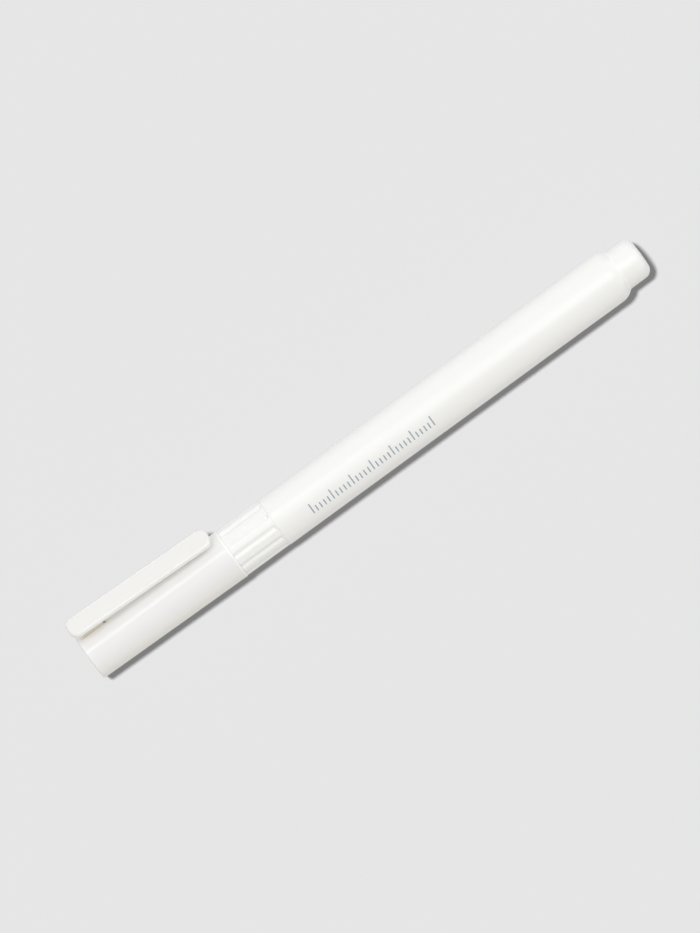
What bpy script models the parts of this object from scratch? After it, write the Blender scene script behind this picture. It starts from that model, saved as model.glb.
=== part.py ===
"""Capped fineliner pen lying on its side, as separate named pieces.

The origin is the centre of the cap's closed end face. +X runs along the pen to its tail and
+Z is up. The clip stands off to one side of the cap, CLIP_ANGLE from straight up.
Dimensions are in millimetres and are turned into metres when a mesh is made.
"""

import math

import bmesh
import bpy
from mathutils import Matrix, Vector

MM = 0.001

# Along the pen
PEN_LENGTH = 138.0
CAP_LENGTH = 35.4
BARREL_FRONT = 35.55
BARREL_REAR = 132.0
SHOULDER_START = 129.4

# Outer radii
CAP_END_R = 5.06
CAP_LIP_R = 5.53
BARREL_FRONT_R = 5.5
BARREL_REAR_R = 5.67
BARREL_RIM_R = 4.6
TAIL_R = 4.5

# Walls and fits
CAP_END_CORNER = 0.4
CAP_END_WALL = 1.5
CAP_MOUTH_R = 4.6
SNAP_GROOVE_R = 4.72
CAP_POCKET_R = 4.0
LIP_EDGE = 0.15
FIT = 0.1
JOINT_GAP = 0.15
FACE_GAP = 0.3
LEAD_IN = 0.4
BARREL_BORE_FRONT_R = 4.05
BARREL_BORE_REAR_R = 4.15
TAIL_CORNER = 1.6

# Grip grooves in the front of the barrel
GROOVE_COUNT = 12
GROOVE_FIRST_ANGLE = math.radians(8.2)
GROOVE_WIDTH = 0.9
GROOVE_DEPTH = 0.3
GROOVE_END = 46.0

# Inner cap
INNER_CAP_MOUTH = 18.7
INNER_CAP_BORE_R = 3.35
INNER_CAP_FLOOR = 1.0
CAP_STEP_LENGTH = 2.0

# Front section
SECTION_NOSE = 10.0
SECTION_NOSE_R = 1.9
SECTION_CONE_FRONT = 13.0
SECTION_CONE_FRONT_R = 2.2
SECTION_CONE_REAR = 24.0
SECTION_CONE_REAR_R = 4.2
SECTION_SEAT_R = 4.45
SNAP_X = 31.0
SNAP_HALF_WIDTH = 0.6
SNAP_HEIGHT = 0.08
SECTION_REAR = 48.0
SECTION_CHAMBER_R = 2.9
SECTION_CHAMBER_FRONT = 26.0
SECTION_FUNNEL = 1.5

# Nib and its sleeve
NIB_TIP = 7.2
NIB_TIP_R = 0.28
NIB_TIP_FIT = 0.12
NIB_ROD_R = 0.6
NIB_NECK_FRONT = 10.0
NIB_NECK_REAR = 11.0
NIB_REAR = 54.0
SLEEVE_FRONT = 8.5
SLEEVE_REAR = 20.0
SLEEVE_R = 1.25
SLEEVE_TIP_R = 0.62
SLEEVE_TAPER_REAR = 9.9

# Ink store
RESERVOIR_R = 3.55
NIB_SOCKET_DEPTH = 6.2
FILM_WALL = 0.25

# Tail plug
PLUG_FRONT = 120.0
PLUG_HOLLOW_REAR = 135.5
PLUG_WALL = 1.0

# Clip, on the side of the cap
CLIP_ANGLE = math.radians(52.0)
CLIP_SLOPE = math.radians(1.9)
CLIP_REAR = -0.25
CLIP_TIP = 34.1
CLIP_WIDTH = 6.04
CLIP_THICKNESS = 1.05
CLIP_CORNER = 1.9
CLIP_BEND = 8.0
CLIP_BEND_GAP = 0.3
CLIP_BEND_OUTER_R = 8.74
WEB_FRONT = 7.1
WEB_REAR = 1.2
WEB_WIDTH = 1.2
WEB_SEAT_R = 4.6
BEAD_X = 31.0
BEAD_SIZE = Vector((1.6, 1.3, 0.95))
BEAD_DROP = 0.25

# Facets of the turned pieces, placed so that a flat faces down
WALL_FACETS = 36
SLIM_FACETS = 18
CORNER_FACETS = 5
BEAD_FACETS = 12

# Making the meshes
CUT_PAST = 1.0
MERGE = 0.001
SMOOTH_ANGLE = math.radians(35.0)


def clear_scene():
    """Remove everything that the scene starts with."""
    for thing in list(bpy.data.objects):
        bpy.data.objects.remove(thing, do_unlink=True)


def finish(name, colour, roughness, metallic=0.0):
    """A Principled material of one colour."""
    material = bpy.data.materials.new(name)
    material.use_nodes = True
    shader = material.node_tree.nodes["Principled BSDF"]
    shader.inputs["Base Color"].default_value = (*colour, 1.0)
    shader.inputs["Roughness"].default_value = roughness
    shader.inputs["Metallic"].default_value = metallic
    material.diffuse_color = (*colour, 1.0)
    return material


def empty(name, parent=None, location=(0.0, 0.0, 0.0), turn=(0.0, 0.0, 0.0)):
    """A frame that pieces hang on, placed in millimetres in its parent's frame."""
    frame = bpy.data.objects.new(name, None)
    bpy.context.scene.collection.objects.link(frame)
    frame.parent = parent
    frame.location = Vector(location) * MM
    frame.rotation_euler = turn
    return frame


def add_object(name, bm, parent, material=None):
    """Turn a bmesh in millimetres into a smooth-shaded object in metres."""
    bmesh.ops.scale(bm, vec=(MM, MM, MM), verts=bm.verts)
    bmesh.ops.recalc_face_normals(bm, faces=bm.faces)
    mesh = bpy.data.meshes.new(name)
    bm.to_mesh(mesh)
    bm.free()
    mesh.shade_smooth()
    mesh.set_sharp_from_angle(angle=SMOOTH_ANGLE)
    if material:
        mesh.materials.append(material)
    made = bpy.data.objects.new(name, mesh)
    bpy.context.scene.collection.objects.link(made)
    made.parent = parent
    return made


def combine(target, tool, operation):
    """Cut the tool from the target, or join it on, and hide the tool."""
    tool.hide_render = True
    tool.display_type = "WIRE"
    boolean = target.modifiers.new(tool.name, "BOOLEAN")
    boolean.operation = operation
    boolean.object = tool
    boolean.solver = "EXACT"


def arc(centre_x, centre_r, radius, start, end):
    """Points of a round corner in a turned profile, from one angle to the other in degrees."""
    points = []
    for step in range(CORNER_FACETS + 1):
        angle = math.radians(start + (end - start) * step / CORNER_FACETS)
        points.append((centre_x + radius * math.cos(angle), centre_r + radius * math.sin(angle)))
    return points


def turned(name, profile, facets, material, parent):
    """A solid of revolution about X from a closed profile of (x, radius) points."""
    half_step = math.pi / facets
    bm = bmesh.new()
    ring = [
        bm.verts.new((x, r * math.sin(half_step), -r * math.cos(half_step))) for x, r in profile
    ]
    for start, end in zip(ring, ring[1:] + ring[:1]):
        if start.co.yz.length > 0 or end.co.yz.length > 0:
            bm.edges.new((start, end))
    bmesh.ops.spin(
        bm,
        geom=bm.verts[:] + bm.edges[:],
        axis=(1.0, 0.0, 0.0),
        angle=2.0 * math.pi,
        steps=facets,
        use_merge=True,
    )
    bmesh.ops.remove_doubles(bm, verts=bm.verts, dist=MERGE)
    return add_object(name, bm, parent, material)


def block(name, low, high, parent):
    """A plain box between two corners."""
    low, high = Vector(low), Vector(high)
    bm = bmesh.new()
    place = Matrix.Translation((low + high) / 2) @ Matrix.Diagonal((*(high - low), 1.0))
    bmesh.ops.create_cube(bm, size=1.0, matrix=place)
    return add_object(name, bm, parent)


def corner(centre, radius, start):
    """Points of a quarter turn in the plane of the clip, from an angle in degrees."""
    points = []
    for step in range(CORNER_FACETS + 1):
        angle = math.radians(start + 90.0 * step / CORNER_FACETS)
        points.append((centre[0] + radius * math.cos(angle), centre[1] + radius * math.sin(angle)))
    return points


def clip_plate(rear, front, round_rear):
    """Part of the clip's plate, in the bend's frame, with either its rear or its front end round."""
    half = CLIP_WIDTH / 2
    inset = half - CLIP_CORNER
    if round_rear:
        middle = rear + CLIP_CORNER
        outline = [(front, -half), (front, half)]
        outline += corner((middle, inset), CLIP_CORNER, 90.0)
        outline += corner((middle, -inset), CLIP_CORNER, 180.0)
    else:
        middle = front - CLIP_CORNER
        outline = [(rear, half), (rear, -half)]
        outline += corner((middle, -inset), CLIP_CORNER, -90.0)
        outline += corner((middle, inset), CLIP_CORNER, 0.0)
    bm = bmesh.new()
    under = [bm.verts.new((x, y, -CLIP_THICKNESS / 2)) for x, y in outline]
    sides = bmesh.ops.extrude_face_region(bm, geom=[bm.faces.new(under)])
    lifted = [item for item in sides["geom"] if isinstance(item, bmesh.types.BMVert)]
    bmesh.ops.translate(bm, vec=(0.0, 0.0, CLIP_THICKNESS), verts=lifted)
    return bm


def cap_radius(x):
    """Outer radius of the cap at a distance from its closed end."""
    return CAP_END_R + (CAP_LIP_R - CAP_END_R) * x / CAP_LENGTH


def barrel_radius(x):
    """Outer radius of the barrel in front of its shoulder."""
    share = (x - BARREL_FRONT) / (SHOULDER_START - BARREL_FRONT)
    return BARREL_FRONT_R + (BARREL_REAR_R - BARREL_FRONT_R) * share


def make_cap_shell(parent, clip_side, material):
    """Cap with a closed end, a stepped bore and a slot for the clip's web."""
    profile = [(0.0, 0.0)]
    profile += arc(CAP_END_CORNER, CAP_END_R - CAP_END_CORNER, CAP_END_CORNER, 180.0, 90.0)
    profile += [
        (CAP_LENGTH - LIP_EDGE, cap_radius(CAP_LENGTH)),
        (CAP_LENGTH, CAP_LIP_R - LIP_EDGE),
        (CAP_LENGTH, CAP_MOUTH_R + LIP_EDGE),
        (CAP_LENGTH - LIP_EDGE, CAP_MOUTH_R),
        (SNAP_X + 2 * SNAP_HALF_WIDTH, CAP_MOUTH_R),
        (SNAP_X, SNAP_GROOVE_R),
        (SNAP_X - 2 * SNAP_HALF_WIDTH, CAP_MOUTH_R),
        (INNER_CAP_MOUTH + 1.5 * CAP_STEP_LENGTH, CAP_MOUTH_R),
        (INNER_CAP_MOUTH + 0.5 * CAP_STEP_LENGTH, CAP_POCKET_R),
        (CAP_END_WALL, CAP_POCKET_R),
        (CAP_END_WALL, 0.0),
    ]
    shell = turned("cap_shell", profile, WALL_FACETS, material, parent)
    slot = block(
        "clip_slot",
        (WEB_REAR - FIT, -WEB_WIDTH / 2 - FIT, WEB_SEAT_R - JOINT_GAP),
        (WEB_FRONT + FIT, WEB_WIDTH / 2 + FIT, cap_radius(WEB_FRONT) + CUT_PAST),
        clip_side,
    )
    combine(shell, slot, "DIFFERENCE")


def make_inner_cap(parent, material):
    """Cup that seals on the front section's cone."""
    rear = CAP_END_WALL + FACE_GAP
    outer = CAP_POCKET_R - FIT
    profile = [
        (rear, 0.0),
        (rear, outer - LEAD_IN),
        (rear + LEAD_IN, outer),
        (INNER_CAP_MOUTH, outer),
        (INNER_CAP_MOUTH, INNER_CAP_BORE_R),
        (rear + INNER_CAP_FLOOR, INNER_CAP_BORE_R),
        (rear + INNER_CAP_FLOOR, 0.0),
    ]
    turned("inner_cap", profile, WALL_FACETS, material, parent)


def make_clip_foot(clip_side, to_bend, material):
    """Fixed end of the clip: the rear of its plate on the web that is set in the cap."""
    bm = clip_plate(CLIP_REAR - CLIP_BEND, -CLIP_BEND_GAP / 2, round_rear=True)
    bmesh.ops.transform(bm, matrix=to_bend, verts=bm.verts)
    foot = add_object("clip_foot", bm, clip_side, material)
    web = block(
        "clip_web",
        (WEB_REAR, -WEB_WIDTH / 2, WEB_SEAT_R),
        (WEB_FRONT, WEB_WIDTH / 2, CLIP_BEND_OUTER_R - CLIP_THICKNESS / 2),
        clip_side,
    )
    combine(foot, web, "UNION")


def make_clip_arm(bend, material):
    """Springy end of the clip, whose origin is on its bend, with a bead under its tip."""
    arm = add_object(
        "clip_arm",
        clip_plate(CLIP_BEND_GAP / 2, CLIP_TIP - CLIP_BEND, round_rear=False),
        bend,
        material,
    )
    bm = bmesh.new()
    bmesh.ops.create_uvsphere(bm, u_segments=BEAD_FACETS, v_segments=BEAD_FACETS, radius=1.0)
    bmesh.ops.scale(bm, vec=BEAD_SIZE, verts=bm.verts)
    place = (BEAD_X - CLIP_BEND, 0.0, -CLIP_THICKNESS / 2 - BEAD_DROP)
    bmesh.ops.translate(bm, vec=place, verts=bm.verts)
    combine(arm, add_object("clip_bead", bm, bend), "UNION")


def make_barrel(parent, material):
    """Tube with grip grooves at its front and a round shoulder at its rear."""
    drop = BARREL_REAR_R - BARREL_RIM_R
    run = BARREL_REAR - SHOULDER_START
    bend_r = (run**2 + drop**2) / (2 * drop)
    sweep = math.degrees(math.asin(run / bend_r))
    behind_grooves = GROOVE_END + CUT_PAST
    profile = [
        (BARREL_FRONT, BARREL_BORE_FRONT_R),
        (BARREL_FRONT, BARREL_FRONT_R - LIP_EDGE),
        (BARREL_FRONT + LIP_EDGE, BARREL_FRONT_R),
        (behind_grooves, barrel_radius(behind_grooves)),
    ]
    profile += arc(SHOULDER_START, BARREL_REAR_R - bend_r, bend_r, 90.0, 90.0 - sweep)
    profile += [(BARREL_REAR, BARREL_BORE_REAR_R)]
    barrel = turned("barrel", profile, WALL_FACETS, material, parent)

    floor_r = BARREL_FRONT_R - GROOVE_DEPTH
    low = Vector((BARREL_FRONT - CUT_PAST, -GROOVE_WIDTH / 2, floor_r))
    high = Vector((GROOVE_END, GROOVE_WIDTH / 2, BARREL_REAR_R + CUT_PAST))
    place = Matrix.Translation((low + high) / 2) @ Matrix.Diagonal((*(high - low), 1.0))
    bm = bmesh.new()
    for index in range(GROOVE_COUNT):
        angle = GROOVE_FIRST_ANGLE + index * 2.0 * math.pi / GROOVE_COUNT
        bmesh.ops.create_cube(bm, size=1.0, matrix=Matrix.Rotation(angle, 4, "X") @ place)
    combine(barrel, add_object("grip_grooves", bm, parent), "DIFFERENCE")


def make_tail_plug(parent, material):
    """Hollow plug: a spigot inside the barrel and a round boss behind it."""
    spigot_r = BARREL_BORE_REAR_R - 2 * FIT
    hollow_r = spigot_r - PLUG_WALL
    seat = BARREL_REAR + JOINT_GAP
    profile = [
        (PLUG_FRONT, hollow_r),
        (PLUG_FRONT, spigot_r - LEAD_IN),
        (PLUG_FRONT + 2 * LEAD_IN, spigot_r),
        (seat, spigot_r),
        (seat, TAIL_R),
    ]
    profile += arc(PEN_LENGTH - TAIL_CORNER, TAIL_R - TAIL_CORNER, TAIL_CORNER, 90.0, 0.0)
    profile += [(PEN_LENGTH, 0.0), (PLUG_HOLLOW_REAR, 0.0), (PLUG_HOLLOW_REAR, hollow_r)]
    turned("tail_plug", profile, WALL_FACETS, material, parent)


def make_front_section(parent, material):
    """Nib holder: nose, cone, cap seat with a snap ring, and a hollow spigot in the barrel."""
    spigot_r = BARREL_BORE_FRONT_R - FIT
    seat_rear = BARREL_FRONT - JOINT_GAP
    sleeve_bore_r = SLEEVE_R + FIT
    profile = [
        (SECTION_NOSE, sleeve_bore_r),
        (SECTION_NOSE, SECTION_NOSE_R - LEAD_IN),
        (SECTION_NOSE + LEAD_IN, SECTION_NOSE_R),
        (SECTION_CONE_FRONT, SECTION_CONE_FRONT_R),
        (SECTION_CONE_REAR, SECTION_CONE_REAR_R),
        (SECTION_CONE_REAR + LEAD_IN, SECTION_SEAT_R),
        (SNAP_X - SNAP_HALF_WIDTH, SECTION_SEAT_R),
        (SNAP_X, SECTION_SEAT_R + SNAP_HEIGHT),
        (SNAP_X + SNAP_HALF_WIDTH, SECTION_SEAT_R),
        (seat_rear, SECTION_SEAT_R),
        (seat_rear, spigot_r),
        (SECTION_REAR - LEAD_IN, spigot_r),
        (SECTION_REAR, spigot_r - LEAD_IN),
        (SECTION_REAR, SECTION_CHAMBER_R),
        (SECTION_CHAMBER_FRONT, SECTION_CHAMBER_R),
        (SECTION_CHAMBER_FRONT - SECTION_FUNNEL, sleeve_bore_r),
    ]
    turned("front_section", profile, WALL_FACETS, material, parent)


def make_nib_sleeve(parent, material):
    """Thin metal sleeve, drawn in at its front, that holds the nib in the nose."""
    tip_bore_r = NIB_TIP_R + NIB_TIP_FIT
    bore_r = NIB_ROD_R + FIT
    profile = [
        (SLEEVE_FRONT, tip_bore_r),
        (SLEEVE_FRONT, SLEEVE_TIP_R),
        (SLEEVE_TAPER_REAR, SLEEVE_R),
        (SLEEVE_REAR, SLEEVE_R),
        (SLEEVE_REAR, bore_r),
        (NIB_NECK_REAR - FACE_GAP, bore_r),
        (NIB_NECK_FRONT - FACE_GAP, tip_bore_r),
    ]
    turned("nib_sleeve", profile, SLIM_FACETS, material, parent)


def make_nib(parent, material):
    """Fine point with a rounded tip, and a rod that reaches into the reservoir."""
    profile = [(NIB_TIP, 0.0)]
    profile += arc(NIB_TIP + NIB_TIP_R, 0.0, NIB_TIP_R, 180.0, 90.0)[1:]
    profile += [
        (NIB_NECK_FRONT, NIB_TIP_R),
        (NIB_NECK_REAR, NIB_ROD_R),
        (NIB_REAR - LEAD_IN, NIB_ROD_R),
        (NIB_REAR, NIB_ROD_R / 2),
        (NIB_REAR, 0.0),
    ]
    turned("nib", profile, SLIM_FACETS, material, parent)


def make_ink_reservoir(parent, material):
    """Fibre rod with a socket in its front face for the nib's tail."""
    front, rear = SECTION_REAR + FACE_GAP, PLUG_FRONT - FACE_GAP
    socket_r = NIB_ROD_R + FIT
    socket_rear = front + NIB_SOCKET_DEPTH
    profile = [
        (front, socket_r),
        (front, RESERVOIR_R),
        (rear, RESERVOIR_R),
        (rear, 0.0),
        (socket_rear, 0.0),
        (socket_rear, socket_r),
    ]
    turned("ink_reservoir", profile, SLIM_FACETS, material, parent)


def make_reservoir_film(parent, material):
    """Plastic wrap round the fibre rod, open at both ends."""
    front, rear = SECTION_REAR + FACE_GAP, PLUG_FRONT - FACE_GAP
    inner_r = RESERVOIR_R + FIT
    outer_r = inner_r + FILM_WALL
    profile = [(front, inner_r), (front, outer_r), (rear, outer_r), (rear, inner_r)]
    turned("reservoir_film", profile, SLIM_FACETS, material, parent)


def main():
    clear_scene()
    pen = empty("pen_frame")
    cap = empty("cap_frame", pen)
    clip_side = empty("clip_side_frame", cap, turn=(-CLIP_ANGLE, 0.0, 0.0))
    bend_at = Vector((CLIP_BEND, 0.0, CLIP_BEND_OUTER_R - CLIP_THICKNESS / 2))
    bend = empty("clip_bend_frame", clip_side, bend_at, (0.0, CLIP_SLOPE, 0.0))
    to_bend = Matrix.Translation(bend_at) @ Matrix.Rotation(CLIP_SLOPE, 4, "Y")

    make_cap_shell(cap, clip_side, finish("cap_white", (0.86, 0.86, 0.84), 0.3))
    make_inner_cap(cap, finish("inner_cap_milky", (0.78, 0.79, 0.78), 0.45))
    make_clip_foot(clip_side, to_bend, finish("clip_foot_white", (0.86, 0.86, 0.84), 0.35))
    make_clip_arm(bend, finish("clip_arm_white", (0.86, 0.86, 0.84), 0.35))

    make_barrel(pen, finish("barrel_white", (0.88, 0.88, 0.87), 0.28))
    make_tail_plug(pen, finish("tail_white", (0.88, 0.88, 0.87), 0.3))
    make_front_section(pen, finish("section_white", (0.84, 0.84, 0.83), 0.35))
    make_nib_sleeve(pen, finish("sleeve_steel", (0.62, 0.62, 0.61), 0.25, 1.0))
    make_nib(pen, finish("nib_ink", (0.03, 0.03, 0.035), 0.5))
    make_ink_reservoir(pen, finish("fibre_ink", (0.06, 0.06, 0.08), 0.9))
    make_reservoir_film(pen, finish("film_clear", (0.8, 0.83, 0.85), 0.2))


main()
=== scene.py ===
"""Looks of a capped fineliner pen that lies on a pale floor.

Each class below is one sub-assembly of the pen: it keeps its sizes, builds its meshes and dresses them.
Sizes are in millimetres and become metres where a mesh is made. +X runs along the pen from the cap's
closed end to the tail, +Z is up, and an angle round the pen turns from +Z towards -Y.
"""

import logging
import math
from abc import ABC, abstractmethod
from collections.abc import Mapping, Sequence
from dataclasses import dataclass, field
from enum import Enum
from typing import Any, ClassVar, Union

import bmesh
import bpy
from mathutils import Matrix, Vector

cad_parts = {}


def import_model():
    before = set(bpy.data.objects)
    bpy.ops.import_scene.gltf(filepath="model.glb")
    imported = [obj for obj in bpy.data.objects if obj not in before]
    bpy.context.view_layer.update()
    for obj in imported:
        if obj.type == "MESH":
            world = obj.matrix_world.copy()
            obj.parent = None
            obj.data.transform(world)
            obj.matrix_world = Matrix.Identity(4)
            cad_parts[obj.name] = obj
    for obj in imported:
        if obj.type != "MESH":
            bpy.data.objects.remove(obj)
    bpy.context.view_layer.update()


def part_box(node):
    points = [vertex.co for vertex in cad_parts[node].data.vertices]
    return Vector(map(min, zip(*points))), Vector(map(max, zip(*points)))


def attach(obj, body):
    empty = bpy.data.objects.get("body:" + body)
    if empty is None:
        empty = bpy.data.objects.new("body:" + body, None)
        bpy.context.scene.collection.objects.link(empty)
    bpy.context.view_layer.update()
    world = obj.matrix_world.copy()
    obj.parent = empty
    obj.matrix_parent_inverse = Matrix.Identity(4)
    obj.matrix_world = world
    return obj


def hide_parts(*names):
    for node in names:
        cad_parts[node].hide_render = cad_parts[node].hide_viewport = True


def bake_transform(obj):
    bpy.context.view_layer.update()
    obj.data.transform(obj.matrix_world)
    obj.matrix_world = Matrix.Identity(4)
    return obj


LOG = logging.getLogger("pen")

MM = 0.001
MICRON = 0.000001
TURN = 2.0 * math.pi
QUARTER_TURN = math.pi / 2.0
FULL_CIRCLE = 192
SLIM_CIRCLE = 96
ROUND_STEPS = 6
SUPPORT = 0.06
NOISE_MIDDLE = 0.5
SMOOTH_ANGLE = math.radians(38.0)

Colour = tuple[float, float, float]
Point = tuple[float, float]
Corner = tuple[float, float, float]
Value = Union["Wire", float]
Ring = list[bmesh.types.BMVert]

BARREL_WHITE: Colour = (0.886, 0.887, 0.868)
BARREL_FLOW_WHITE: Colour = (0.874, 0.874, 0.854)


class Body(str, Enum):
    """Bodies of the frame that pieces ride on."""

    BARREL = "barrel"
    CAP = "cap"
    CLIP = "clip"


class Cut(str, Enum):
    """How one solid changes another."""

    JOIN = "UNION"
    REMOVE = "DIFFERENCE"


class Gives(Enum):
    """What a lamp gives the pen: even light on it, or its own image in the gloss."""

    LIGHT = "light"
    IMAGE = "image"


class Grain(Enum):
    """Texture of a surface: size in millimetres, depth in microns, stretch along and across the pen."""

    POLISHED = (2.2, 0.6, 1.0, 1.0)
    SATIN = (0.42, 1.3, 1.0, 1.0)
    SOFT = (0.8, 2.5, 1.0, 1.0)
    DRAWN = (0.05, 1.0, 1.0, 40.0)
    STRANDS = (0.12, 12.0, 60.0, 1.0)
    FINE_STRANDS = (0.05, 12.0, 60.0, 1.0)
    CREASED = (1.2, 20.0, 8.0, 1.0)
    PRINTED = (0.25, 1.0, 1.0, 1.0)

    def __init__(self, size: float, microns: float, along: float, across: float) -> None:
        """Keep the texture's sizes.

        Args:
            size: Distance from one feature to the next, in millimetres.
            microns: Depth of the features.
            along: How much longer they are along the pen.
            across: How much longer they are across it.
        """
        self.size = size
        self.depth = microns * MICRON
        self.stretch = (along, across, across)


class Wire:
    """An output socket whose arithmetic adds Math nodes to its graph."""

    def __init__(self, graph: "Graph", socket: bpy.types.NodeSocket) -> None:
        """Keep the socket and its graph."""
        self.graph = graph
        self.socket = socket

    def __add__(self, other: Value) -> "Wire":
        """This plus another value."""
        return self.graph.maths("ADD", self, other)

    def __radd__(self, other: Value) -> "Wire":
        """Another value plus this."""
        return self.graph.maths("ADD", other, self)

    def __sub__(self, other: Value) -> "Wire":
        """This minus another value."""
        return self.graph.maths("SUBTRACT", self, other)

    def __rsub__(self, other: Value) -> "Wire":
        """Another value minus this."""
        return self.graph.maths("SUBTRACT", other, self)

    def __mul__(self, other: Value) -> "Wire":
        """This times another value."""
        return self.graph.maths("MULTIPLY", self, other)

    def __rmul__(self, other: Value) -> "Wire":
        """Another value times this."""
        return self.graph.maths("MULTIPLY", other, self)

    def __truediv__(self, other: Value) -> "Wire":
        """This divided by another value."""
        return self.graph.maths("DIVIDE", self, other)

    def __rtruediv__(self, other: Value) -> "Wire":
        """Another value divided by this."""
        return self.graph.maths("DIVIDE", other, self)

    def __neg__(self) -> "Wire":
        """This with its sign turned."""
        return 0.0 - self


class Graph:
    """A node tree, for shading or for geometry, that is written as Python expressions."""

    def __init__(self, tree: bpy.types.NodeTree) -> None:
        """Keep the tree that nodes go into, and empty it."""
        self.tree = tree
        self.tree.nodes.clear()

    def put(self, socket: bpy.types.NodeSocket, value: Any) -> None:
        """Link a wire to a socket, or set the socket's own value.

        Args:
            socket: The input socket.
            value: A wire or a plain value.
        """
        if isinstance(value, Wire):
            self.tree.links.new(value.socket, socket)
        else:
            socket.default_value = value

    def node(
        self,
        kind: str,
        settings: Mapping[str, Any] | None = None,
        inputs: Mapping[str | int, Any] | None = None,
    ) -> bpy.types.Node:
        """Add a node.

        Args:
            kind: The node's type.
            settings: Its properties, which are set first.
            inputs: Values or wires for its sockets, by name or by number.

        Returns:
            The new node.
        """
        made = self.tree.nodes.new(kind)
        for name, value in (settings or {}).items():
            setattr(made, name, value)
        for key, value in (inputs or {}).items():
            self.put(made.inputs[key], value)
        return made

    def wire(
        self,
        kind: str,
        settings: Mapping[str, Any] | None = None,
        inputs: Mapping[str | int, Any] | None = None,
        output: str | int = 0,
    ) -> Wire:
        """Add a node and take one of its outputs.

        Args:
            kind: The node's type.
            settings: Its properties, which are set first.
            inputs: Values or wires for its sockets, by name or by number.
            output: The output's name or number.

        Returns:
            The output as a wire.
        """
        return Wire(self, self.node(kind, settings, inputs).outputs[output])

    def maths(self, operation: str, *values: Value) -> Wire:
        """Add a Math node.

        Args:
            operation: The node's operation.
            values: Its inputs in order.

        Returns:
            The result.
        """
        return self.wire("ShaderNodeMath", {"operation": operation}, dict(enumerate(values)))

    def fade(self, value: Wire, start: Value, end: Value) -> Wire:
        """Ease from 1 to 0 while a value goes from start to end.

        Args:
            value: What is followed.
            start: Where the result leaves 1.
            end: Where it reaches 0.

        Returns:
            The eased result.
        """
        ends = {"Value": value, "From Min": start, "From Max": end, "To Min": 1.0, "To Max": 0.0}
        return self.wire("ShaderNodeMapRange", {"interpolation_type": "SMOOTHSTEP"}, ends)

    def parts(self, vector: Wire) -> tuple[Wire, Wire, Wire]:
        """The x, y and z of a vector."""
        outputs = self.node("ShaderNodeSeparateXYZ", inputs={0: vector}).outputs
        return Wire(self, outputs[0]), Wire(self, outputs[1]), Wire(self, outputs[2])

    def vector(self, x: Value, y: Value, z: Value) -> Wire:
        """A vector from its x, y and z."""
        return self.wire("ShaderNodeCombineXYZ", inputs={0: x, 1: y, 2: z})


class ShaderGraph(Graph):
    """A material's tree around one Principled shader.

    A Mix node has sockets of the same name for each type of value, so those for colours go by number.
    """

    MIX_FACTOR: ClassVar[int] = 0
    MIX_FIRST: ClassVar[int] = 6
    MIX_SECOND: ClassVar[int] = 7
    MIX_RESULT: ClassVar[int] = 2

    def __init__(self, name: str) -> None:
        """Start a material.

        Args:
            name: The material's name.
        """
        self.material = bpy.data.materials.new(name)
        self.material.use_nodes = True
        super().__init__(self.material.node_tree)
        self.shader = self.node("ShaderNodeBsdfPrincipled")
        surface = Wire(self, self.shader.outputs[0])
        self.node("ShaderNodeOutputMaterial", inputs={"Surface": surface})
        self.place = self.wire("ShaderNodeTexCoord", output="Object")

    def feed(self, **values: Any) -> None:
        """Set the shader's sockets, named with _ for a space, from values or wires."""
        for name, value in values.items():
            self.put(self.shader.inputs[name.replace("_", " ")], value)

    def noise(self, size: float, stretch: Sequence[float] = (1.0, 1.0, 1.0)) -> Wire:
        """Smooth noise between 0 and 1.

        Args:
            size: Distance between its features, in millimetres.
            stretch: How much longer the features are along X, Y and Z.

        Returns:
            The noise.
        """
        shrink = [1.0 / along for along in stretch]
        place = self.wire("ShaderNodeMapping", inputs={"Vector": self.place, "Scale": shrink})
        return self.wire("ShaderNodeTexNoise", inputs={"Vector": place, "Scale": 1.0 / (size * MM)})

    def tint(self, factor: Wire, first: Colour | Wire, second: Colour) -> Wire:
        """Mix two colours.

        Args:
            factor: The second colour's share.
            first: The colour at 0.
            second: The colour at 1.

        Returns:
            The mixed colour.
        """
        start = first if isinstance(first, Wire) else (*first, 1.0)
        inputs = {self.MIX_FACTOR: factor, self.MIX_FIRST: start, self.MIX_SECOND: (*second, 1.0)}
        return self.wire("ShaderNodeMix", {"data_type": "RGBA"}, inputs, self.MIX_RESULT)

    def bump(self, height: Wire, depth: float) -> Wire:
        """A normal that follows a height between 0 and 1, of a depth in metres."""
        return self.wire("ShaderNodeBump", inputs={"Distance": depth, "Height": height})


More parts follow.
